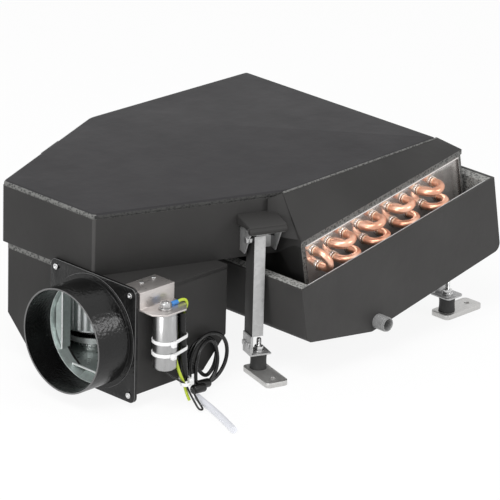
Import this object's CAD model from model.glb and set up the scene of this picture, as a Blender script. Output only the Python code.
import math
import bmesh
import bpy
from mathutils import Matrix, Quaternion, Vector


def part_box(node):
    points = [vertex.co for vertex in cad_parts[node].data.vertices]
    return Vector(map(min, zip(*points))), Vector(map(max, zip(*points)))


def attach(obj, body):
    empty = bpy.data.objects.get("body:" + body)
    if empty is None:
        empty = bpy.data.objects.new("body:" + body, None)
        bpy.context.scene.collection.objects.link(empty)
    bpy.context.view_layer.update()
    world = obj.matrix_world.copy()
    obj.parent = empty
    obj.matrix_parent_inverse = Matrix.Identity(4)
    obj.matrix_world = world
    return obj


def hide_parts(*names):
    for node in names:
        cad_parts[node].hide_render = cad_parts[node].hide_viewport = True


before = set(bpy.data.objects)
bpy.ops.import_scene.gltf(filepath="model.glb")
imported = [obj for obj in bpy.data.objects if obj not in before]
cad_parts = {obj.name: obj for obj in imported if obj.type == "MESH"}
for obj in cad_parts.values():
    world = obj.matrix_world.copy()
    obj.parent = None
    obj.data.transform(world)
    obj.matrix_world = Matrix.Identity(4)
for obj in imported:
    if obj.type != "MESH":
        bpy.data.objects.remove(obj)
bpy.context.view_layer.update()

print("frame loaded,", len(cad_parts), "nodes")

# Shared node steps


def newFinish(name):
    finish = bpy.data.materials.new(name)
    finish.use_nodes = True
    return finish, finish.node_tree, finish.node_tree.nodes["Principled BSDF"]


def addNode(tree, kind, **values):
    # a shader node, with each value given to its setting or else to its socket of that name
    node = tree.nodes.new("ShaderNode" + kind)
    for key, value in values.items():
        if hasattr(node, key):
            setattr(node, key, value)
        else:
            node.inputs[key.replace("_", " ")].default_value = value
    return node


# Studio

studio = {
    "cameraAt": (-3.5262, -3.4996, 2.0291),
    "lookAlong": (0.66924, 0.64838, -0.36294),
    "roll": 1.491,  # degrees
    "lens": 324.0,
    "sensor": 36.0,
    "clipEnd": 50.0,
    "worldLight": 0.62,
    "brightRays": ("Is Camera Ray", "Is Glossy Ray", "Is Transmission Ray"),
    "floorSize": 14.0,
    "floorHigh": -0.0006,
    "floorColour": (0.90, 0.90, 0.90, 1.0),
    "floorGlow": 0.90,  # share of plain white that the camera sees on the floor
    # name, place, aim, width and power of each lamp
    "lamps": (("keyLamp", (-1.2, -0.6, 2.2), (0, 0, 0.1), 1.4, 34.0),
              ("fillLamp", (0.7, -2.2, 1.35), (0, 0, 0.1), 0.85, 15.0),
              ("rimLamp", (-2.4, -0.5, 0.55), (-0.2, -0.06, 0.08), 0.9, 15.0)),
}


def setCamera():
    lens = bpy.data.cameras.new("camera")
    lens.lens = studio["lens"]
    lens.sensor_width = studio["sensor"]
    lens.clip_end = studio["clipEnd"]
    camera = bpy.data.objects.new("camera", lens)
    bpy.context.scene.collection.objects.link(camera)
    camera.rotation_mode = "QUATERNION"
    turn = Vector(studio["lookAlong"]).to_track_quat("-Z", "Y")
    camera.rotation_quaternion = turn @ Quaternion((0, 0, 1), math.radians(studio["roll"]))
    camera.location = studio["cameraAt"]
    bpy.context.scene.camera = camera


def addLamp(name, place, aim, width, power):
    lamp = bpy.data.lights.new(name, "AREA")
    lamp.shape = "SQUARE"
    lamp.size = width
    lamp.energy = power
    thing = bpy.data.objects.new(name, lamp)
    bpy.context.scene.collection.objects.link(thing)
    thing.location = place
    thing.rotation_mode = "QUATERNION"
    thing.rotation_quaternion = (Vector(aim) - Vector(place)).to_track_quat("-Z", "Y")


def seenRays(tree):
    # 1 for the rays that see the bright background, 0 for the rest
    path = addNode(tree, "LightPath")
    first, *others = (path.outputs[kind] for kind in studio["brightRays"])
    for other in others:
        larger = addNode(tree, "Math", operation="MAXIMUM")
        tree.links.new(first, larger.inputs[0])
        tree.links.new(other, larger.inputs[1])
        first = larger.outputs[0]
    return first


def setLight():
    for lamp in studio["lamps"]:
        addLamp(*lamp)
    world = bpy.data.worlds.new("studioWorld")
    bpy.context.scene.world = world
    world.use_nodes = True
    tree = world.node_tree
    back = tree.nodes["Background"]
    back.inputs["Color"].default_value = (1, 1, 1, 1)
    level = addNode(tree, "MapRange", To_Min=studio["worldLight"], To_Max=1.0)
    tree.links.new(seenRays(tree), level.inputs["Value"])
    tree.links.new(level.outputs["Result"], back.inputs["Strength"])


def setFloor():
    bpy.ops.mesh.primitive_plane_add(size=studio["floorSize"], location=(0, 0, studio["floorHigh"]))
    floor = bpy.context.object
    floor.name = "floor"
    finish, tree, shader = newFinish("floorPaper")
    shader.inputs["Base Color"].default_value = studio["floorColour"]
    shader.inputs["Roughness"].default_value = 0.9
    shader.inputs["Specular IOR Level"].default_value = 0.1
    share = addNode(tree, "Math", operation="MULTIPLY")
    share.inputs[1].default_value = studio["floorGlow"]
    tree.links.new(seenRays(tree), share.inputs[0])
    glow = addNode(tree, "Emission")
    blend = addNode(tree, "MixShader")
    tree.links.new(share.outputs[0], blend.inputs["Fac"])
    tree.links.new(shader.outputs[0], blend.inputs[1])
    tree.links.new(glow.outputs[0], blend.inputs[2])
    tree.links.new(blend.outputs[0], tree.nodes["Material Output"].inputs["Surface"])
    floor.data.materials.append(finish)


bpy.ops.object.select_all(action="DESELECT")
bpy.context.scene.view_settings.view_transform = "Standard"
setCamera()
setLight()
setFloor()
print("studio set")

# Finishes


def spotPattern(tree, kind, output="Fac", **values):
    # output of a texture node on the object's own coordinates
    place = addNode(tree, "TexCoord")
    pattern = addNode(tree, kind, **values)
    tree.links.new(place.outputs["Object"], pattern.inputs["Vector"])
    return pattern.outputs[output]


def addColours(tree, shader, source, stops):
    # base colour that follows the source from stop to stop
    ramp = addNode(tree, "ValToRGB")
    ends = ramp.color_ramp.elements[0], ramp.color_ramp.elements[1]
    for spot, (place, colour) in zip(ends, stops):
        spot.position = place
        spot.color = colour
    for place, colour in stops[2:]:
        ramp.color_ramp.elements.new(place).color = colour
    tree.links.new(source, ramp.inputs["Fac"])
    tree.links.new(ramp.outputs["Color"], shader.inputs["Base Color"])


def addRoughness(tree, shader, source, low, high):
    level = addNode(tree, "MapRange", To_Min=low, To_Max=high)
    tree.links.new(source, level.inputs["Value"])
    tree.links.new(level.outputs["Result"], shader.inputs["Roughness"])


def addBump(tree, shader, source, height, strength, below=None):
    bump = addNode(tree, "Bump", Distance=height, Strength=strength)
    tree.links.new(source, bump.inputs["Height"])
    if below:
        tree.links.new(below.outputs["Normal"], bump.inputs["Normal"])
    tree.links.new(bump.outputs["Normal"], shader.inputs["Normal"])
    return bump


def grey(level, tint=(1.0, 1.0, 1.0)):
    return (level * tint[0], level * tint[1], level * tint[2], 1.0)


def foamFinish(name, level, rough, tint=(1.0, 0.975, 0.955)):
    # calendered skin of closed-cell foam: faint cloudiness, fine grain and soft dimples
    finish, tree, shader = newFinish(name)
    shader.inputs["Specular IOR Level"].default_value = 0.2
    cloud = spotPattern(tree, "TexNoise", Scale=9.0, Detail=3.0, Roughness=0.55)
    addColours(tree, shader, cloud, [(0.30, grey(level * 0.88, tint)), (0.70, grey(level * 1.12, tint))])
    sheen = spotPattern(tree, "TexNoise", Scale=26.0, Detail=2.0)
    addRoughness(tree, shader, sheen, low=rough - 0.06, high=rough + 0.08)
    grain = spotPattern(tree, "TexNoise", Scale=900.0, Detail=2.0)
    dimple = spotPattern(tree, "TexNoise", Scale=60.0, Detail=2.0)
    first = addBump(tree, shader, dimple, height=0.0012, strength=0.35)
    addBump(tree, shader, grain, height=0.0002, strength=0.35, below=first)
    return finish


def cutFoamFinish(name, level):
    # cut edge of the same foam, with its open cells
    finish, tree, shader = newFinish(name)
    shader.inputs["Roughness"].default_value = 0.8
    cells = spotPattern(tree, "TexVoronoi", "Distance", Scale=340.0)
    addColours(tree, shader, cells, [(0.10, grey(level * 0.2)), (0.60, grey(level * 1.9, (1, 1, 0.96)))])
    addBump(tree, shader, cells, height=0.0009, strength=0.8)
    return finish


def plasticFinish(name, colour, rough, peelScale, peelHeight, sheen=0.5):
    # moulded or painted surface with a fine peel, worn unevenly
    finish, tree, shader = newFinish(name)
    shader.inputs["Base Color"].default_value = colour
    shader.inputs["Specular IOR Level"].default_value = sheen
    peel = spotPattern(tree, "TexNoise", Scale=peelScale, Detail=1.5, Roughness=0.4)
    wear = spotPattern(tree, "TexNoise", Scale=40.0, Detail=3.0)
    addRoughness(tree, shader, wear, low=rough * 0.8, high=rough * 1.25)
    addBump(tree, shader, peel, height=peelHeight, strength=0.6)
    return finish


def spangleFinish(name, level, rough, metal=0.72, tint=(1.0, 1.0, 1.0)):
    # galvanised sheet with its pale crystals
    finish, tree, shader = newFinish(name)
    shader.inputs["Metallic"].default_value = metal
    crystals = spotPattern(tree, "TexVoronoi", "Color", Scale=260.0)
    tone = addNode(tree, "SeparateColor")
    tree.links.new(crystals, tone.inputs["Color"])
    addColours(tree, shader, tone.outputs["Red"],
               [(0.0, grey(level * 0.93, tint)), (1.0, grey(level * 1.06, tint))])
    addRoughness(tree, shader, tone.outputs["Green"], low=rough * 0.9, high=rough * 1.12)
    fine = spotPattern(tree, "TexNoise", Scale=500.0, Detail=3.0)
    addBump(tree, shader, fine, height=0.0001, strength=0.25)
    return finish


def metalFinish(name, colour, rough, streaks=(1.0, 1.0, 1.0), metal=1.0):
    # rolled or drawn metal: long faint streaks along the direction with the small factor
    finish, tree, shader = newFinish(name)
    shader.inputs["Metallic"].default_value = metal
    place = addNode(tree, "TexCoord")
    stretch = addNode(tree, "Mapping", Scale=streaks)
    tree.links.new(place.outputs["Object"], stretch.inputs["Vector"])
    pattern = addNode(tree, "TexNoise", Scale=420.0, Detail=3.0)
    tree.links.new(stretch.outputs["Vector"], pattern.inputs["Vector"])
    low = tuple(part * 0.86 for part in colour[:3]) + (1.0,)
    addColours(tree, shader, pattern.outputs["Fac"], [(0.25, low), (0.75, colour)])
    addRoughness(tree, shader, pattern.outputs["Fac"], low=rough * 0.7, high=rough * 1.35)
    addBump(tree, shader, pattern.outputs["Fac"], height=0.00006, strength=0.3)
    return finish


def copperFinish():
    # drawn copper, brightened by handling and darker near the brazed joints
    finish, tree, shader = newFinish("copperTube")
    shader.inputs["Metallic"].default_value = 0.85
    stain = spotPattern(tree, "TexNoise", Scale=55.0, Detail=4.0, Roughness=0.6)
    addColours(tree, shader, stain,
               [(0.28, (0.58, 0.27, 0.17, 1)), (0.50, (0.82, 0.44, 0.30, 1)), (0.72, (0.93, 0.60, 0.46, 1))])
    addRoughness(tree, shader, stain, low=0.22, high=0.42)
    fine = spotPattern(tree, "TexNoise", Scale=600.0, Detail=2.0)
    addBump(tree, shader, fine, height=0.00008, strength=0.3)
    return finish


def rubberFinish(name, level):
    # matt rubber with a little dust
    finish, tree, shader = newFinish(name)
    shader.inputs["Roughness"].default_value = 0.62
    dust = spotPattern(tree, "TexNoise", Scale=120.0, Detail=4.0)
    addColours(tree, shader, dust,
               [(0.35, grey(level * 0.7)), (0.75, grey(level * 1.5, (1, 0.99, 0.97)))])
    fine = spotPattern(tree, "TexNoise", Scale=1200.0, Detail=2.0)
    addBump(tree, shader, fine, height=0.00015, strength=0.5)
    return finish


foamSkin = foamFinish("foamSkin", 0.029, 0.56)
lidSkin = foamFinish("lidSkin", 0.021, 0.56, (1.0, 0.955, 1.03))
panSkin = foamFinish("panSkin", 0.042, 0.50)
foamCut = cutFoamFinish("foamCutEdge", 0.072)
foamStrip = cutFoamFinish("foamStripEdge", 0.14)
seamBlack = cutFoamFinish("foamSeam", 0.014)
foamWorn = foamFinish("foamWornCorner", 0.055, 0.50)
satinBlack = plasticFinish("satinBlackPlastic", grey(0.035), 0.45, 900.0, 0.0001)
collarBlack = plasticFinish("collarBlackGloss", grey(0.004), 0.22, 330.0, 0.0008, 0.36)
collarEdge = plasticFinish("collarWornEdge", grey(0.11), 0.35, 420.0, 0.0001)
galvanised = spangleFinish("galvanisedSheet", 0.47, 0.42)
ductSheet = spangleFinish("ductSheet", 0.74, 0.36, 0.5, (0.90, 1.0, 0.97))
floorSheet = spangleFinish("scrollFloorSheet", 0.50, 0.30, 0.6, (0.88, 1.0, 0.96))
linerSheet = spangleFinish("linerSheet", 0.55, 0.5, 0.3)
zincPlate = metalFinish("brightZinc", grey(0.72), 0.26)
motorZinc = metalFinish("motorZinc", grey(0.95, (0.97, 1.0, 0.99)), 0.30, metal=0.4)
footSteel = metalFinish("dullZincPlate", grey(0.60, (1.0, 0.99, 0.97)), 0.40, metal=0.85)
sheetAluminium = metalFinish("coilEndSheet", grey(0.90, (1.0, 0.96, 0.93)), 0.13, (0.15, 1.0, 1.0), 0.85)
nutSteel = metalFinish("dullNutZinc", grey(0.50), 0.36, metal=0.9)
shelfSheet = metalFinish("shelfSheet", grey(0.62, (1.0, 0.94, 0.91)), 0.30, (0.3, 1.0, 1.0), 0.85)
palePlastic = plasticFinish("paleSpigotPlastic", grey(0.22), 0.3, 500.0, 0.0001)
finAluminium = metalFinish("coilFins", grey(0.66), 0.4, (1.0, 6.0, 0.1))
copperTube = copperFinish()
brazeSilver = metalFinish("brazeSilver", (0.72, 0.60, 0.48, 1), 0.4)
motorBlack = plasticFinish("motorBlackPaint", grey(0.02), 0.4, 800.0, 0.0001)
impellerSteel = metalFinish("impellerZinc", grey(0.74, (0.96, 1.0, 1.0)), 0.30, (1.0, 1.0, 0.1), 0.8)
canMetal = metalFinish("capacitorCan", grey(0.46), 0.30, (1.0, 1.0, 0.15))
bufferRubber = rubberFinish("bufferRubber", 0.018)
terminalBlue = plasticFinish("terminalBlue", (0.03, 0.19, 0.52, 1), 0.3, 800.0, 0.0001)
tieWhite = plasticFinish("nylonWhite", grey(0.78), 0.35, 900.0, 0.0001)
cableBlack = plasticFinish("cableBlack", grey(0.005), 0.26, 700.0, 0.0001, 0.36)
earthSheath = plasticFinish("earthSheath", (0.42, 0.52, 0.03, 1), 0.32, 700.0, 0.0001)
sleeveWhite = plasticFinish("sleeveWhite", (0.66, 0.67, 0.71, 1), 0.3, 600.0, 0.0001)
print("finishes made")

# the CAD nodes that stay in view as they are
nodeFinishes = {
    "plenum_floor_plate": galvanised, "scroll_wall": ductSheet, "scroll_floor": floorSheet,
    "fan_inlet_ring": ductSheet, "motor_rotor": motorBlack, "impeller": impellerSteel,
    "coil_fin_pack": finAluminium, "tube_sheet_far": sheetAluminium, "return_bends": copperTube,
}


def dressNodes():
    for name, finish in nodeFinishes.items():
        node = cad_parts[name]
        node.data.materials.clear()
        node.data.materials.append(finish)


dressNodes()
print("nodes dressed")

# Shared modelling steps

modelling = {
    "mergeGap": 0.00001,
    "flatAngle": 0.6,  # degrees by which faces of one flat may differ
    "near": 0.0001,  # two places this close count as one
    "endWay": 0.99,  # how squarely an end has to face its way
}


def pickOnly(piece):
    bpy.ops.object.select_all(action="DESELECT")
    piece.select_set(True)
    bpy.context.view_layer.objects.active = piece


def editAll(piece):
    # edit mode with everything picked
    pickOnly(piece)
    bpy.ops.object.mode_set(mode="EDIT")
    bpy.ops.mesh.select_all(action="SELECT")


def longerThan(least):
    # a test for edges, by their length
    return lambda a, b: (a - b).length > least


def risingBy(least):
    # a test for edges, by how far they climb
    return lambda a, b: abs(a.z - b.z) > least


def copyNode(node, name):
    # a copy of the CAD solid, merged and with its flat faces in one piece each
    piece = bpy.data.objects.new(name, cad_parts[node].data.copy())
    bpy.context.scene.collection.objects.link(piece)
    piece.data.materials.clear()
    editAll(piece)
    bpy.ops.mesh.remove_doubles(threshold=modelling["mergeGap"])
    bpy.ops.mesh.dissolve_limited(angle_limit=math.radians(modelling["flatAngle"]))
    bpy.ops.object.mode_set(mode="OBJECT")
    return piece


def startPicking(piece, kind):
    # edit mode with nothing picked, ready to pick faces or edges
    pickOnly(piece)
    bpy.ops.object.mode_set(mode="EDIT")
    bpy.ops.mesh.select_mode(type=kind)
    bpy.ops.mesh.select_all(action="DESELECT")
    return bmesh.from_edit_mesh(piece.data)


def softenEdges(piece, width, segments, test=lambda a, b: True, sharp=20.0):
    # round the edges that turn by more than the sharp angle and pass the test on their two ends
    shape = startPicking(piece, "EDGE")
    for edge in shape.edges:
        if len(edge.link_faces) == 2 and edge.calc_face_angle() > math.radians(sharp):
            edge.select_set(test(edge.verts[0].co, edge.verts[1].co))
    bmesh.update_edit_mesh(piece.data)
    bpy.ops.mesh.bevel(offset=width, segments=segments, profile=0.5, clamp_overlap=True)
    bpy.ops.object.mode_set(mode="OBJECT")


def sinkEnd(piece, way, rim, deep):
    # sink the middle of the flat end that faces this way, and leave a rim
    shape = startPicking(piece, "FACE")
    for face in shape.faces:
        face.select_set(face.normal.dot(way) > modelling["endWay"])
    bmesh.update_edit_mesh(piece.data)
    bpy.ops.mesh.inset(thickness=rim)
    bpy.ops.mesh.extrude_region_move(TRANSFORM_OT_translate={"value": tuple(way * -deep)})
    bpy.ops.object.mode_set(mode="OBJECT")


def bevelAll(piece, width, segments, sharp=30.0):
    pickOnly(piece)
    bevel = piece.modifiers.new("bevel", "BEVEL")
    bevel.width = width
    bevel.segments = segments
    bevel.limit_method = "ANGLE"
    bevel.angle_limit = math.radians(sharp)
    bpy.ops.object.modifier_apply(modifier=bevel.name)


def thicken(piece, thick, offset):
    pickOnly(piece)
    solid = piece.modifiers.new("thickness", "SOLIDIFY")
    solid.thickness = thick
    solid.offset = offset
    bpy.ops.object.modifier_apply(modifier=solid.name)


def dressPiece(piece, finish, node=None, body="casing"):
    piece.data.materials.append(finish)
    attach(piece, body)
    if node:
        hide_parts(node)
    return piece


def finishPiece(piece, angle, finish, node=None, body="casing"):
    # smooth the faces that meet at less than the angle, then dress the piece
    pickOnly(piece)
    bpy.ops.object.shade_smooth_by_angle(angle=math.radians(angle))
    return dressPiece(piece, finish, node, body)


def paintFaces(piece, finish, isPainted):
    # a further finish on the faces whose middle and direction pass the test
    piece.data.materials.append(finish)
    number = len(piece.data.materials) - 1
    for face in piece.data.polygons:
        if isPainted(face.center, face.normal):
            face.material_index = number


def settle(piece):
    # put the piece's place into its mesh
    pickOnly(piece)
    bpy.ops.object.transform_apply(location=True, rotation=True, scale=True)


def joinPieces(pieces, name):
    pickOnly(pieces[0])
    for piece in pieces[1:]:
        piece.select_set(True)
    bpy.ops.object.join()
    joined = bpy.context.object
    joined.name = name
    return joined


def addTube(name, radius, low, high, corners, edge=0.0, steps=2):
    # closed cylinder between two points, with its ends rounded over if an edge is given
    low = Vector(low)
    high = Vector(high)
    turn = (high - low).to_track_quat("Z", "Y").to_euler()
    bpy.ops.mesh.primitive_cylinder_add(vertices=corners, radius=radius, depth=(high - low).length,
                                        location=(low + high) / 2, rotation=turn)
    piece = bpy.context.object
    piece.name = name
    settle(piece)
    if edge:
        bevelAll(piece, edge, steps)
    return piece


def spinProfile(name, outline, centre, segments, turn=(0, 0, 0)):
    # turn an outline of (radius, height) pairs round an upright axis, then tip it over by the turn
    mesh = bpy.data.meshes.new(name)
    mesh.from_pydata([(radius, 0, height) for radius, height in outline],
                     [(i, i + 1) for i in range(len(outline) - 1)], [])
    piece = bpy.data.objects.new(name, mesh)
    bpy.context.scene.collection.objects.link(piece)
    editAll(piece)
    bpy.ops.mesh.spin(steps=segments, angle=math.tau, center=(0, 0, 0), axis=(0, 0, 1))
    bpy.ops.mesh.select_all(action="SELECT")
    bpy.ops.mesh.remove_doubles(threshold=modelling["mergeGap"])
    bpy.ops.mesh.normals_make_consistent(inside=False)
    bpy.ops.object.mode_set(mode="OBJECT")
    piece.location = centre
    piece.rotation_euler = turn
    settle(piece)
    return piece


# Cords

cords = {
    # name, node, finish and slot, then width, length, far end, stiffness and lay
    "kinds": (
        ("supplyCable", "supply_cable", cableBlack, "cable_black", 0.0046, 0.541, "bare", "medium", "coiled"),
        ("wireConduit", "wire_conduit", cableBlack, "cable_black", 0.010, 0.082, "bare", "stiff", "hanging"),
        ("earthWire", "earth_wire", earthSheath, "earth_sleeve", 0.0036, 0.146, "bare", "medium", "hanging"),
        ("blackWire", "black_wire", cableBlack, "cable_black", 0.0024, 0.099, "object", "limp", "hanging"),
        ("labelSleeve", "label_sleeve", sleeveWhite, "sleeve_white", 0.0084, 0.096, "bare", "medium",
         "loose"),
    ),
    "roundSteps": 5,
    "lineSteps": 8,
    "loopTurns": 2.68,
    "loopSteps": 12,  # points for each turn
    "loopFirst": 2,  # first point that is used
    "loopHigh": 0.036,
    "loopStart": 285.0,
    "loopStretch": 1.03,
    # share of a turn, radius, middle x, middle y and yaw in degrees, between which the turns change evenly
    "loopShape": ((0.0, 0.024, -0.137, -0.1415, 0), (0.5, 0.0255, -0.1362, -0.1436, 0),
                  (1.0, 0.031, -0.1316, -0.147, 0), (1.5, 0.0313, -0.1318, -0.1496, 0),
                  (2.0, 0.028, -0.138, -0.1515, 7), (2.25, 0.026, -0.141, -0.154, 17),
                  (2.8, 0.0255, -0.141, -0.1546, 19)),
    "loopIn": ((-0.150, -0.1389, 0.033), (-0.145, -0.1416, 0.028), (-0.129, -0.1416, 0.0095),
               (-0.117, -0.1416, 0.017)),
    "loopOut": ((-0.1663, -0.163, 0.029), (-0.1655, -0.163, 0.0198), (-0.1605, -0.1626, 0.0149),
                (-0.151, -0.161, 0.0139), (-0.143, -0.1602, 0.0132)),
    "wireConduit": ((-0.184, -0.157, 0.110), (-0.187, -0.160, 0.072), (-0.182, -0.161, 0.028)),
    "earthWire": ((-0.1903, -0.1555, 0.1246), (-0.1785, -0.1558, 0.127), (-0.175, -0.157, 0.116),
              (-0.1805, -0.1485, 0.103), (-0.1933, -0.152, 0.090), (-0.1933, -0.153, 0.066),
              (-0.1965, -0.166, 0.044), (-0.192, -0.1702, 0.030), (-0.1902, -0.1735, 0.016),
              (-0.1888, -0.1765, 0.0095)),
    "blackWire": ((-0.214, -0.158, 0.0487), (-0.209, -0.162, 0.042), (-0.1924, -0.174, 0.030),
              (-0.189, -0.1765, 0.019), (-0.188, -0.1845, 0.009), (-0.189, -0.192, 0.003),
              (-0.1855, -0.195, 0.0025), (-0.1825, -0.191, 0.0035), (-0.1825, -0.1825, 0.010),
              (-0.1845, -0.1755, 0.0225)),
    "labelSleeve": ((-0.171, -0.1715, 0.0067), (-0.177, -0.198, 0.0043), (-0.188, -0.228, 0.0043),
               (-0.203, -0.262, 0.0043)),
    # start and length of the two thick sleeved ends
    "ends": (((-0.165, -0.160, 0.015), 0.024), ((-0.176, -0.1685, 0.016), 0.019)),
    "endLean": 95,  # degrees from upright
    "endRadius": 0.0054,
    "endEdge": 0.002,
    "endRim": 0.0012,
    "endSink": 0.0008,
}


def addCord(name, route, width, finish, node):
    line = bpy.data.curves.new(name, "CURVE")
    line.dimensions = "3D"
    line.bevel_depth = width / 2
    line.bevel_resolution = cords["roundSteps"]
    line.resolution_u = cords["lineSteps"]
    line.use_fill_caps = True
    spline = line.splines.new("NURBS")
    spline.points.add(len(route) - 1)
    for point, place in zip(spline.points, route):
        point.co = tuple(place) + (1.0,)
    spline.order_u = 3
    spline.use_endpoint_u = True
    cord = bpy.data.objects.new(name, line)
    bpy.context.scene.collection.objects.link(cord)
    return dressPiece(cord, finish, node)


def loopPoint(turn):
    # a place on the loops of the supply cable, so many turns from where they start
    shape = cords["loopShape"]
    for before, after in zip(shape, shape[1:]):
        if before[0] <= turn <= after[0]:
            share = (turn - before[0]) / (after[0] - before[0])
            radius, x, y, yaw = (low + (high - low) * share for low, high in zip(before[1:], after[1:]))
    angle = math.radians(cords["loopStart"] + 360 * turn)
    lean = math.radians(yaw)
    across = radius * math.cos(angle)
    stretch = cords["loopStretch"]
    return (x + stretch * across * math.cos(lean), y + across * math.sin(lean),
            cords["loopHigh"] + stretch * radius * math.sin(angle))


def makeCableEnds():
    # the two thick sleeved ends of the cable, rounded over and hollow at their tips
    lean = math.radians(cords["endLean"])
    way = Vector((math.sin(lean), 0, math.cos(lean)))
    ends = []
    for start, long in cords["ends"]:
        end = addTube("cableEnd", cords["endRadius"], start, Vector(start) + way * long, 28,
                      cords["endEdge"], 4)
        sinkEnd(end, way, cords["endRim"], cords["endSink"])
        ends.append(end)
    pair = joinPieces(ends, "cableEndSleeves")
    return finishPiece(pair, 50, cableBlack, "cable_ends")


def makeCords():
    points = range(cords["loopFirst"], int(cords["loopTurns"] * cords["loopSteps"]) + 1)
    turns = [loopPoint(point / cords["loopSteps"]) for point in points]
    loops = list(cords["loopIn"]) + turns + list(cords["loopOut"])
    for name, node, finish, slot, width, length, farEnd, stiffness, lay in cords["kinds"]:
        route = cords.get(name, loops)
        cord = addCord(name, route, width, finish, node)
        ends = [makeCableEnds()] if route is loops else []


makeCords()
print("cords made")

# Foam

foam = {
    "edge": 0.0042,  # how far the skin rounds over at an edge
    "corner": 0.0055,
    "cheekEdge": 0.0045,
    "hoodEdge": 0.0026,
    "stripEdge": 0.0012,
    "groove": 0.0009,
    "lipRadius": 0.0042,
    "lipShare": 0.6,  # of the radius: how far the lip stands out, and how round its ends are
    "lipSink": 0.0004,
    "hoodFront": 0.0005,  # depth within which a point counts as the hood's front
    "beadRadius": 0.0013,
    "seam": ((-0.022, -0.1552, 0.2142), (0.2475, -0.1482, 0.2142)),
    "fillet": ((-0.040, -0.1485, 0.166), (-0.0222, -0.1835, 0.164), (-0.0222, -0.1552, 0.2142),
               (-0.040, -0.1485, 0.2085)),
    "filletThick": 0.004,
    "filletBulge": 0.0015,
    "sheetThick": 0.006,
    "topLow": 0.209,
    "boxTop": 0.140,
    "boxFar": 0.0785,
    "boxNose": -0.235,
    "bandLow": 0.132,
    "cheekFar": -0.15,
    "wallWay": (-0.379, -0.925, 0),
    # edges that are softened climb more, or are longer, than this
    "lidRise": 0.004,
    "wallRise": 0.06,
    "wallLong": 0.1,
    "level": 0.001,
    "coverLong": 0.012,
    "jacketLong": 0.03,
    "hoodLong": 0.003,
    # parts of a face's direction at which its finish changes
    "noseTurn": -0.45,
    "noseFace": -0.97,
    "nearFace": -0.95,
    "sideTurn": 0.6,
    "lidRound": 0.86,
    "flat": 0.9,
    "steep": 0.5,
    "upright": 0.2,
    "underside": -0.7,
}


def makeLid():
    # cut foam at the nose, and a dark seam along both sides
    lid = copyNode("plenum_top_foam", "plenumLid")
    low = foam["topLow"] + modelling["near"]
    top = foam["topLow"] + foam["sheetThick"] - modelling["near"]
    softenEdges(lid, foam["corner"], 5, risingBy(foam["lidRise"]))
    softenEdges(lid, foam["edge"], 5, lambda a, b: min(a.z, b.z) > top)
    softenEdges(lid, foam["groove"], 2, lambda a, b: max(a.z, b.z) < low)
    finishPiece(lid, 35, lidSkin, "plenum_top_foam")
    paintFaces(lid, foamCut, lambda at, way: way.z < foam["lidRound"] and way.x < foam["noseTurn"])
    paintFaces(lid, seamBlack, lambda at, way: way.z < foam["steep"] and abs(way.y) > foam["sideTurn"])


def makeWalls():
    # cut foam below and on top, and a worn corner between the nose and the near wall
    walls = copyNode("plenum_foam", "plenumWalls")
    softenEdges(walls, foam["corner"], 5, risingBy(foam["wallRise"]))
    softenEdges(walls, foam["groove"], 2, lambda a, b: abs(a.z - b.z) < foam["level"]
                and (a - b).length > foam["wallLong"])
    finishPiece(walls, 35, foamSkin, "plenum_foam")
    paintFaces(walls, foamCut, lambda at, way: way.z < -foam["steep"] or way.z > foam["flat"])
    paintFaces(walls, foamWorn, lambda at, way: foam["noseFace"] < way.x < foam["noseTurn"]
               and way.y < -foam["upright"] and abs(way.z) < foam["upright"])


def makeCoilCover():
    cover = copyNode("coil_cover_foam", "coilCover")
    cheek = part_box("coil_cover_foam")[0].x + modelling["near"]
    softenEdges(cover, foam["cheekEdge"], 5, lambda a, b: max(a.x, b.x) < cheek
                and max(a.y, b.y) < foam["cheekFar"])
    softenEdges(cover, foam["stripEdge"], 3, longerThan(foam["coverLong"]))
    finishPiece(cover, 35, foamSkin, "coil_cover_foam")
    paintFaces(cover, foamCut, lambda at, way: way.y < foam["nearFace"])


def makeJacket():
    # foam jacket of the blower box, with the cut edge of its top band showing on the nose side
    jacket = copyNode("blower_box_foam", "blowerJacket")
    band = foam["boxTop"] - foam["sheetThick"]
    editAll(jacket)
    bpy.ops.mesh.bisect(plane_co=(0, 0, band), plane_no=(0, 0, 1))
    bpy.ops.object.mode_set(mode="OBJECT")
    least = foam["jacketLong"]
    softenEdges(jacket, foam["edge"], 3, lambda a, b: (a - b).length > least
                and min(a.y, b.y) < foam["boxFar"]
                and (max(a.z, b.z) < foam["bandLow"] or abs(a.z - b.z) > least))
    finishPiece(jacket, 35, foamSkin, "blower_box_foam")
    low = band - 2 * modelling["near"]
    paintFaces(jacket, foamCut, lambda at, way: at.z > low and at.x < foam["boxNose"]
               and abs(way.z) < foam["steep"])


def makePanFoam():
    strips = copyNode("pan_end_foam", "panEndStrips")
    bevelAll(strips, foam["stripEdge"], 2)
    finishPiece(strips, 35, foamStrip, "pan_end_foam")


def addSheet(name, corners, thick, bulge=0.0):
    # four-sided sheet, bulged between its upright sides and thickened away from its front
    bpy.ops.mesh.primitive_grid_add(x_subdivisions=8, y_subdivisions=8, size=1.0, location=(0, 0, 0))
    sheet = bpy.context.object
    sheet.name = name
    first, second, third, fourth = (Vector(corner) for corner in corners)
    out = (second - first).cross(fourth - first).normalized()
    for spot in sheet.data.vertices:
        along = spot.co.x + 0.5
        up = spot.co.y + 0.5
        flat = first.lerp(second, along).lerp(fourth.lerp(third, along), up)
        spot.co = flat + out * bulge * math.sin(math.pi * along)
    thicken(sheet, thick, -1.0)
    return sheet


def makeSeamBead():
    # rough bead of foam where the coil cover meets the lid
    bead = addTube("seamBead", foam["beadRadius"], *foam["seam"], 12)
    finishPiece(bead, 50, foamCut)


def makeCheekFillet():
    # foam that closes the corner between the near wall and the coil cover
    fillet = addSheet("cheekFillet", foam["fillet"], foam["filletThick"], foam["filletBulge"])
    finishPiece(fillet, 50, foamSkin)


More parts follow.
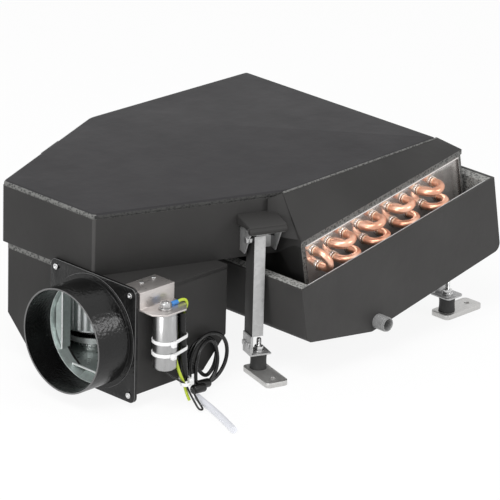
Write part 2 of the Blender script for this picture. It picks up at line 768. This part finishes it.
def addHoodLip(side):
    # rolled front edge of the hood
    spots = [spot.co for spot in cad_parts["leg_hood_foam_" + side].data.vertices]
    out = Vector(foam["wallWay"])
    radius = foam["lipRadius"]
    front = max(spot.dot(out) for spot in spots) - foam["hoodFront"]
    edge = [spot for spot in spots if spot.dot(out) > front]
    shift = Vector((0, 0, radius - foam["lipSink"])) - out * radius * foam["lipShare"]
    low = min(spot.z for spot in edge)
    ends = (min(edge, key=lambda spot: spot.x), max(edge, key=lambda spot: spot.x))
    left, right = (Vector((spot.x, spot.y, low)) + shift for spot in ends)
    return addTube("hoodLip", radius, left, right, 28, radius * foam["lipShare"], 5)


def makeHoods():
    for side in ("near", "far"):
        hood = copyNode("leg_hood_foam_" + side, "legHood" + side.capitalize())
        softenEdges(hood, foam["hoodEdge"], 5, longerThan(foam["hoodLong"]))
        if side == "near":
            hood = joinPieces([hood, addHoodLip(side)], hood.name)
        finishPiece(hood, 50, foamSkin, "leg_hood_foam_" + side)
        paintFaces(hood, foamCut, lambda at, way: way.z < foam["underside"])


makeLid()
makeWalls()
makeCoilCover()
makeJacket()
makePanFoam()
makeSeamBead()
makeCheekFillet()
makeHoods()
print("foam made")

# Drain pan

pan = {
    "tilt": 10.1,  # degrees by which pan and coil lean
    "rimSpan": 0.0002,
    "edge": 0.0016,
    "shortEdge": 0.02,  # edges up to this length stay sharp, on the coil's plate too
    "wall": 0.0027,
    "linerThick": 0.0008,
    "linerDepth": 0.055,
    "linerProud": 0.0006,
    "linerInset": 0.0129,
}


def slopePoint(start, along, y, up):
    # a place in the tilted frame of pan or coil, whose rim starts at this point
    lean = math.radians(pan["tilt"])
    return Vector((start.x + along * math.cos(lean) - up * math.sin(lean), y,
                   start.z + along * math.sin(lean) + up * math.cos(lean)))


def climb(spot):
    # height of a place, square to the slope of pan and coil
    lean = math.radians(pan["tilt"])
    return spot.z * math.cos(lean) - spot.x * math.sin(lean)


def findRim(node):
    # left and right end of the node's upper edge
    spots = [spot.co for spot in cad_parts[node].data.vertices]
    high = max(climb(spot) for spot in spots)
    rim = [spot for spot in spots if climb(spot) > high - pan["rimSpan"]]
    return min(rim, key=lambda spot: spot.x).copy(), max(rim, key=lambda spot: spot.x).copy()


def makePan():
    tray = copyNode("drain_pan", "drainTray")
    softenEdges(tray, pan["edge"], 3, longerThan(pan["shortEdge"]), 40)
    finishPiece(tray, 35, panSkin, "drain_pan")


def makeLiner():
    # bright sheet inside the near wall, whose edge shows along the rim
    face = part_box("drain_pan")[0][1] + pan["wall"] + modelling["near"]
    left, right = pan["linerInset"], (panRight - panLeft).length - pan["linerInset"]
    top, bottom = pan["linerProud"], -pan["linerDepth"]
    bpy.ops.mesh.primitive_plane_add(size=1.0, location=(0, 0, 0))
    liner = bpy.context.object
    liner.name = "panLiner"
    # the plane's corners come row by row, and this order turns its front inwards
    corners = [(left, top), (right, top), (left, bottom), (right, bottom)]
    for spot, (along, up) in zip(liner.data.vertices, corners):
        spot.co = slopePoint(panLeft, along, face, up)
    thicken(liner, pan["linerThick"], 1.0)
    dressPiece(liner, linerSheet)


panLeft, panRight = findRim("drain_pan")
makePan()
makeLiner()
print("pan made")

# Coil

coil = {
    "plateEdge": 0.0011,
    "plateThick": 0.003,
    # distance from the plate, radius and thickness of the rings
    "collar": (0.0005, 0.0058, 0.0007),
    "braze": (0.0032, 0.0051, 0.0009),
    "tubes": 9,
    "pitch": 0.0254,
    "firstTube": 0.013,
    "rows": ((0.0125, 0.0), (0.0345, 0.0057)),  # depth below the rim, and shift along it
}


def makeEndPlate():
    plate = copyNode("tube_sheet_near", "coilEndPlate")
    softenEdges(plate, coil["plateEdge"], 3, longerThan(pan["shortEdge"]), 40)
    finishPiece(plate, 50, sheetAluminium, "tube_sheet_near")


def makeTubeRings():
    # flared collars of the sheet round each tube and the brazed sleeves of the bends
    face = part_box("tube_sheet_near")[0][1] + coil["plateThick"]
    spots = [(coil["firstTube"] + shift + coil["pitch"] * number, down)
             for down, shift in coil["rows"] for number in range(coil["tubes"])]
    for kind, name, finish, slot in (("collar", "tubeCollars", sheetAluminium, "aluminium"),
                                     ("braze", "brazeRings", brazeSilver, "copper")):
        out, radius, thick = coil[kind]
        rings = []
        for along, down in spots:
            place = slopePoint(coilLeft, along, face - out, -down)
            bpy.ops.mesh.primitive_torus_add(location=place, rotation=(math.pi / 2, 0, 0), major_segments=28,
                                             minor_segments=8, major_radius=radius, minor_radius=thick)
            settle(bpy.context.object)
            rings.append(bpy.context.object)
        finishPiece(joinPieces(rings, name), 180, finish)


coilLeft = findRim("tube_sheet_near")[0]
makeEndPlate()
makeTubeRings()
print("coil made")

# Outlet flange

flange = {
    "edge": 0.0011,
    "rimWide": 0.0009,  # of the collar
    "wornProud": 0.0003,
    "wornTurn": (0.2, 0.97),  # part of its direction by which a face of the rounded edge looks forward
    "screwRadius": 0.0036,
    "screwHigh": 0.0019,
    "screwEdge": 0.0005,
    "recess": 0.0017,
    "recessDeep": 0.0011,
    "inset": 0.009,
    "side": 0.140,
    "face": -0.240,
    "centreY": -0.069,
    "centreZ": 0.0765,
}


def makeFlange():
    body = copyNode("duct_flange", "ductFlange")
    softenEdges(body, flange["edge"], 3, lambda a, b: a.x < flange["face"] + modelling["near"], 50)
    finishPiece(body, 50, collarBlack, "duct_flange")
    # worn light on the collar's rim and on the rounded edge of the square plate
    front = min(spot.co.x for spot in body.data.vertices) + flange["rimWide"]
    low = flange["face"] - flange["wornProud"]
    high = flange["face"] + flange["edge"] + modelling["near"]
    least, most = flange["wornTurn"]
    paintFaces(body, collarEdge, lambda at, way: at.x < front
               or (low < at.x < high and least < -way.x < most))


def makeScrewHead(place):
    # low round head with a sunk middle
    bpy.ops.mesh.primitive_cylinder_add(vertices=28, radius=flange["screwRadius"], depth=flange["screwHigh"],
                                        rotation=(0, -math.pi / 2, 0))
    head = bpy.context.object
    settle(head)
    sinkEnd(head, Vector((-1, 0, 0)), flange["screwRadius"] - flange["recess"], flange["recessDeep"])
    bevelAll(head, flange["screwEdge"], 3, 40)
    head.location = place
    settle(head)
    return head


def makeScrews():
    reach = flange["side"] / 2 - flange["inset"]
    face = flange["face"] - flange["screwHigh"] / 2
    heads = [makeScrewHead((face, flange["centreY"] + across * reach, flange["centreZ"] + up * reach))
             for across in (-1, 1) for up in (-1, 1)]
    screws = joinPieces(heads, "flangeScrewHeads")
    finishPiece(screws, 40, zincPlate, "flange_screws")


makeFlange()
makeScrews()
print("flange made")

# Feet

foot = {
    "plateEdge": 0.0008,
    "sheetEdge": 0.0004,
    "noseTurn": -0.85,  # part of its direction by which a leg's face looks to the nose
    "bufferRadius": 0.010,
    "bufferEnd": 0.001,
    "waist": 0.0006,
    "waistSteps": 8,
    "studRadius": 0.003,
    "studTip": 0.0005,
    "bottomTaper": 0.0006,
    "topTaper": 0.0008,
    "threadDeep": 0.00035,
    "threadPitch": 0.001,
    "seatHigh": 0.002,  # the washer's seat above the buffer
    "washerRadius": 0.0065,
    "washerHigh": 0.0012,
    "washerEdge": 0.0003,
    "nutRadius": 0.0058,
    "nutHigh": 0.005,
    "nutEdge": 0.0006,
}


def makeBuffer(name, centre, low, high):
    radius = foot["bufferRadius"]
    end = foot["bufferEnd"]
    tall = high - low
    outline = [(0.0, 0.0), (radius, 0.0)]
    for step in range(foot["waistSteps"] + 1):
        up = step / foot["waistSteps"]
        outline.append((radius - foot["waist"] * math.sin(math.pi * up), end + (tall - 2 * end) * up))
    outline += [(radius, tall), (0.0, tall)]
    return spinProfile("rubberBuffer" + name, outline, (centre[0], centre[1], low), 32)


def makeStud(name, centre, low, seat, high):
    # threaded rod, washer and nut
    x, y = centre
    radius = foot["studRadius"]
    groove = radius - foot["threadDeep"]
    tip = foot["studTip"]
    pitch = foot["threadPitch"]
    outline = [(0.0, 0.0), (radius - foot["bottomTaper"], 0.0)]
    for turn in range(int((high - low - 2 * tip) / pitch)):
        start = tip + pitch * turn
        outline += [(groove, start), (radius, start + pitch / 2)]
    outline += [(groove, high - low - tip), (radius - foot["topTaper"], high - low), (0.0, high - low)]
    rod = spinProfile("rod", outline, (x, y, low), 20)
    nutLow = seat + foot["washerHigh"]
    nutHigh = nutLow + foot["nutHigh"]
    washer = addTube("washer", foot["washerRadius"], (x, y, seat), (x, y, nutLow), 32, foot["washerEdge"])
    nut = addTube("nut", foot["nutRadius"], (x, y, nutLow), (x, y, nutHigh), 6, foot["nutEdge"])
    return joinPieces([rod, washer, nut], "footStud" + name)


def makeFeet():
    for corner in ("front_near", "front_far", "rear_near", "rear_far"):
        name = "".join(word.capitalize() for word in corner.split("_"))
        plate = copyNode("foot_plate_" + corner, "footPlate" + name)
        softenEdges(plate, foot["plateEdge"], 2, sharp=50)
        finishPiece(plate, 50, footSteel, "foot_plate_" + corner, "foot_" + corner)
        low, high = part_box("rubber_buffer_" + corner)
        centre = ((low[0] + high[0]) / 2, (low[1] + high[1]) / 2)
        block = makeBuffer(name, centre, low[2], high[2])
        finishPiece(block, 50, bufferRubber, "rubber_buffer_" + corner)
        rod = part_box("foot_stud_" + corner)
        stud = makeStud(name, centre, rod[0][2], high[2] + foot["seatHigh"], rod[1][2])
        finishPiece(stud, 35, zincPlate, "foot_stud_" + corner)


def makeBrackets():
    for node, name in (("front_leg", "frontLeg"), ("leg_bracket", "legBracket"),
                       ("foot_bracket", "footBracket"), ("rear_bracket", "rearBracket")):
        for side in ("near", "far"):
            sheet = copyNode(node + "_" + side, name + side.capitalize())
            softenEdges(sheet, foot["sheetEdge"], 2, sharp=50)
            finishPiece(sheet, 40, galvanised, node + "_" + side)
            if node == "front_leg":
                # black foam on the side towards the nose
                paintFaces(sheet, foamSkin, lambda at, way: way.x < foot["noseTurn"])


makeFeet()
makeBrackets()
print("feet made")

# Capacitor

capacitor = {
    "centre": (-0.2105, -0.157),
    "low": 0.050,
    "tall": 0.070,
    "radius": 0.0140,
    "dip": 0.0007,  # in the middle of the bottom
    # (radius, height) pairs, taken from the can's radius, and from its bottom or its top
    "base": ((-0.0034, 0.0006), (-0.0028, 0.0), (-0.0016, 0.0002), (-0.0004, 0.0012), (0, 0.0030)),
    "seam": ((0, -0.0045), (-0.0005, -0.0038), (-0.0005, -0.0028), (0, -0.0020), (-0.0003, -0.0006),
             (-0.0012, -0.0001)),
    "studRadius": 0.0039,
    "studTop": 0.0809,
    "studTaper": 0.0007,
    "threadDeep": 0.0004,
    "threadPitch": 0.001,
    "threadEnd": 0.0015,  # below the stud's top
    "washer": (0.008, 0.0009),
    "washerEdge": 0.0002,
    "nutRadius": 0.0074,
    "nutEdge": 0.0007,
    "nutLow": 0.1231,
    "nutHigh": 0.1302,
    "nutGap": 0.001,  # from the bottom up to the six sides
    "nutShoulder": 0.0014,  # from the top down to them
    "collarDeep": 0.0015,
    "nutCollar": ((0.0041, 0.0), (0.0062, 0.0), (0.0059, 0.0010), (0.0051, 0.0014), (0.0041, 0.0011),
                  (0.0041, 0.0)),
    "terminalEdge": 0.0004,
    "barrelLeft": -0.2015,
    "shelfEdge": 0.0009,
}

ties = {
    "bandEdge": 0.0003,
    "canHigh": (("upper", 0.0835), ("lower", 0.0685)),
    "headSize": (0.0062, 0.0046, 0.0066),
    "headAt": (-0.2128, -0.1738),
    "headEdge": 0.0008,
    "mouthSize": (0.0016, 0.0014, 0.0040),
    "mouthAt": (-0.0022, -0.0026),  # from the head's middle
    # place, size and edge of the head and the tail of the tie on the loops
    "loopHead": ((-0.1812, -0.1702, 0.0287), (0.0064, 0.0056, 0.0080), 0.0009),
    "loopTail": ((-0.1800, -0.1722, 0.0345), (0.0030, 0.0012, 0.0070), 0.0003),
}


def makeCan():
    radius = capacitor["radius"]
    tall = capacitor["tall"]
    stud = capacitor["studRadius"]
    groove = stud - capacitor["threadDeep"]
    top = capacitor["studTop"]
    outline = [(0.0, capacitor["dip"])]
    outline += [(radius + across, up) for across, up in capacitor["base"]]
    outline += [(radius + across, tall + up) for across, up in capacitor["seam"]]
    outline.append((stud, outline[-1][1]))
    thread = tall
    while thread < top - capacitor["threadEnd"]:
        outline += [(groove, thread), (stud, thread + capacitor["threadPitch"] / 2)]
        thread += capacitor["threadPitch"]
    outline += [(stud - capacitor["studTaper"], top), (0.0, top)]
    can = spinProfile("capacitorCan", outline, capacitor["centre"] + (capacitor["low"],), 48)
    finishPiece(can, 40, canMetal, "capacitor_can")


def makeNut():
    x, y = capacitor["centre"]
    low, high = capacitor["nutLow"], capacitor["nutHigh"]
    radius, thick = capacitor["washer"]
    washer = addTube("washer", radius, (x, y, low), (x, y, low + thick), 36, capacitor["washerEdge"])
    body = addTube("nut", capacitor["nutRadius"], (x, y, low + capacitor["nutGap"]),
                   (x, y, high - capacitor["nutShoulder"]), 6, capacitor["nutEdge"], 3)
    collar = spinProfile("nutCollar", capacitor["nutCollar"], (x, y, high - capacitor["collarDeep"]), 36)
    nut = joinPieces([washer, body, collar], "capacitorNut")
    finishPiece(nut, 35, nutSteel, "capacitor_nut")


def makeTerminal():
    # bright ring with a blue sleeve on its barrel
    terminal = copyNode("ring_terminal", "ringTerminal")
    bevelAll(terminal, capacitor["terminalEdge"], 3, 40)
    finishPiece(terminal, 40, terminalBlue, "ring_terminal")
    paintFaces(terminal, nutSteel, lambda at, way: at.x <= capacitor["barrelLeft"])


def addBlock(name, centre, dimensions, edge):
    bpy.ops.mesh.primitive_cube_add(size=1.0, location=centre, scale=dimensions)
    block = bpy.context.object
    block.name = name
    settle(block)
    bevelAll(block, edge, 3)
    return block


def makeTie(node, name, blocks):
    # the band of a tie, with its head and what sits on it
    band = copyNode(node, "band")
    bevelAll(band, ties["bandEdge"], 2, 50)
    tie = joinPieces([band] + [addBlock("block", *block) for block in blocks], name)
    finishPiece(tie, 40, tieWhite, node)


def makeTies():
    x, y = ties["headAt"]
    across, out = ties["mouthAt"]
    for side, high in ties["canHigh"]:
        head = ((x, y, high), ties["headSize"], ties["headEdge"])
        mouth = ((x + across, y + out, high), ties["mouthSize"], ties["bandEdge"])
        makeTie("can_tie_" + side, "canTie" + side.capitalize(), (head, mouth))
    makeTie("loop_tie", "loopTie", (ties["loopHead"], ties["loopTail"]))


def makeShelf():
    shelf = copyNode("capacitor_bracket", "capacitorShelf")
    softenEdges(shelf, capacitor["shelfEdge"], 3, sharp=50)
    finishPiece(shelf, 40, shelfSheet, "capacitor_bracket")
    rivets = copyNode("bracket_rivets", "shelfRivets")
    bevelAll(rivets, capacitor["shelfEdge"], 4)
    finishPiece(rivets, 60, nutSteel, "bracket_rivets")


makeCan()
makeNut()
makeTerminal()
makeTies()
makeShelf()
print("capacitor made")

# Fan and its mouth

fan = {
    "axis": (-0.164, 0.006),
    "baseLow": 0.025,
    # (radius, height) pairs of the motor's base and shaft
    "base": ((0.0, 0.0), (0.0320, 0.0), (0.0325, 0.0005), (0.0325, 0.0050), (0.0369, 0.0051),
             (0.0375, 0.0057), (0.0375, 0.0122), (0.0369, 0.0129), (0.0350, 0.0130), (0.0345, 0.0124),
             (0.0300, 0.0124), (0.0290, 0.0130), (0.0240, 0.0130), (0.0240, 0.0168), (0.0238, 0.0170),
             (0.0040, 0.0170), (0.0040, 0.0470), (0.0, 0.0470)),
    "plate": (0.0301, 0.0382),  # lowest and highest place of the base's wide rim
    "rimTurn": 0.3,  # part of its direction by which a face of that rim may look up or down
}

outlet = {
    "sheetThick": 0.0008,
    "sleeveRadius": 0.0603,
    "sleeveStart": -0.250,
    "sleeveEnd": -0.2340,
    # (radius, depth) pairs round the sleeve's front, from the sleeve's radius inwards
    "sleeveRim": ((0, 0.0008), (-0.0004, 0.0), (-0.0010, 0.0002), (-0.0010, 0.0010), (-0.0007, 0.0016)),
    "cheekAt": (-0.2428, -0.0218),
    "cheekDeep": -0.2300,
    "cheekHigh": (0.0405, 0.1125),
    "bore": -0.0117,  # where the cheek meets the sleeve, between these heights
    "boreHigh": (0.0612, 0.0918),
    "foldRadius": 0.0013,
    "floorFold": ((-0.2400, -0.0370, 0.0262), (-0.2400, -0.0772, 0.0262)),
}


def makeMotorBase():
    base = spinProfile("motorBase", fan["base"], fan["axis"] + (fan["baseLow"],), 64)
    finishPiece(base, 40, zincPlate, "motor_base")
    low, high = fan["plate"]
    paintFaces(base, motorBlack, lambda at, way: at.z > high)
    paintFaces(base, motorZinc, lambda at, way: low < at.z < high and abs(way.z) < fan["rimTurn"])


def makeDuctSleeve():
    # thin bright sleeve inside the collar, rolled at its front
    radius = outlet["sleeveRadius"]
    long = outlet["sleeveEnd"] - outlet["sleeveStart"]
    rim = [(radius + across, deep) for across, deep in outlet["sleeveRim"]]
    outline = [(radius, long)] + rim + [(rim[-1][0], long), (radius, long)]
    place = (outlet["sleeveStart"], flange["centreY"], flange["centreZ"])
    sleeve = spinProfile("ductSleeve", outline, place, 96, (0, math.pi / 2, 0))
    finishPiece(sleeve, 40, ductSheet)


def makeOutletCheek():
    # end of the scroll's side wall inside the sleeve, turned back to the bore, with bright rolled edges
    x, y = outlet["cheekAt"]
    low, high = outlet["cheekHigh"]
    boreLow, boreHigh = outlet["boreHigh"]
    bore, deep, thick = outlet["bore"], outlet["cheekDeep"], outlet["sheetThick"]
    front = addSheet("front", ((x, bore, boreLow), (x, y, low), (x, y, high), (x, bore, boreHigh)), thick)
    side = addSheet("side", ((x, y, low), (deep, y, low), (deep, y, high), (x, y, high)), thick)
    finishPiece(joinPieces([front, side], "outletCheek"), 30, ductSheet)
    sideFold = addTube("sideFold", outlet["foldRadius"], (x, y, low), (x, y, high), 16)
    floorFold = addTube("floorFold", outlet["foldRadius"], *outlet["floorFold"], 16)
    finishPiece(joinPieces([sideFold, floorFold], "outletFolds"), 50, motorZinc)


makeMotorBase()
makeDuctSleeve()
makeOutletCheek()
print("fan made")

# Spigots and small parts

spigot = {
    "radius": 0.0090,
    "bore": 0.0068,
    "rings": 5,
    "rootLong": (0.0018, 0.0022),
    "firstRing": 0.0026,
    "ringPitch": 0.0026,
    # how far up a ring its two edges and its end lie
    "ringSpots": (0.0005, 0.0014, 0.0019),
    "grooveDeep": 0.0008,
    "tipLong": 0.0008,
    "tipRound": 0.0009,
    "boreRound": (0.0004, 0.0006),
}

smallParts = {
    "edge": 0.0005,
    # node, name, finish and slot
    "kinds": (("leg_bolts_near", "legBoltsNear", nutSteel, "zinc"),
              ("leg_bolts_far", "legBoltsFar", nutSteel, "zinc"),
              ("coil_posts", "coilPosts", satinBlack, "black_plastic")),
}


def makeSpigots():
    radius = spigot["radius"]
    bore = spigot["bore"]
    groove = radius - spigot["grooveDeep"]
    rise, fall, end = spigot["ringSpots"]
    rootTop, rootEnd = spigot["rootLong"]
    mouthWide, mouthDeep = spigot["boreRound"]
    for side, turn, root in (("near", math.pi / 2, 1), ("far", -math.pi / 2, 0)):
        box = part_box("drain_spigot_" + side)
        low, high = box
        long = high[1] - low[1]
        outline = [(bore, 0.0), (radius, 0.0), (radius, rootTop), (groove, rootEnd)]
        for ring in range(spigot["rings"]):
            start = spigot["firstRing"] + spigot["ringPitch"] * ring
            outline += [(groove, start), (radius, start + rise), (radius, start + fall),
                        (groove, start + end)]
        outline += [(groove, long - spigot["tipLong"]), (radius - spigot["tipRound"], long),
                    (bore + mouthWide, long), (bore, long - mouthDeep), (bore, 0.0)]
        place = ((low[0] + high[0]) / 2, box[root][1], (low[2] + high[2]) / 2)
        tube = spinProfile("drainSpigot" + side.capitalize(), outline, place, 48, (turn, 0, 0))
        finishPiece(tube, 40, palePlastic, "drain_spigot_" + side)


def makeSmallParts():
    for node, name, finish, slot in smallParts["kinds"]:
        piece = copyNode(node, name)
        bevelAll(piece, smallParts["edge"], 2, 50)
        finishPiece(piece, 40, finish, node)


makeSpigots()
makeSmallParts()
print("small parts made")
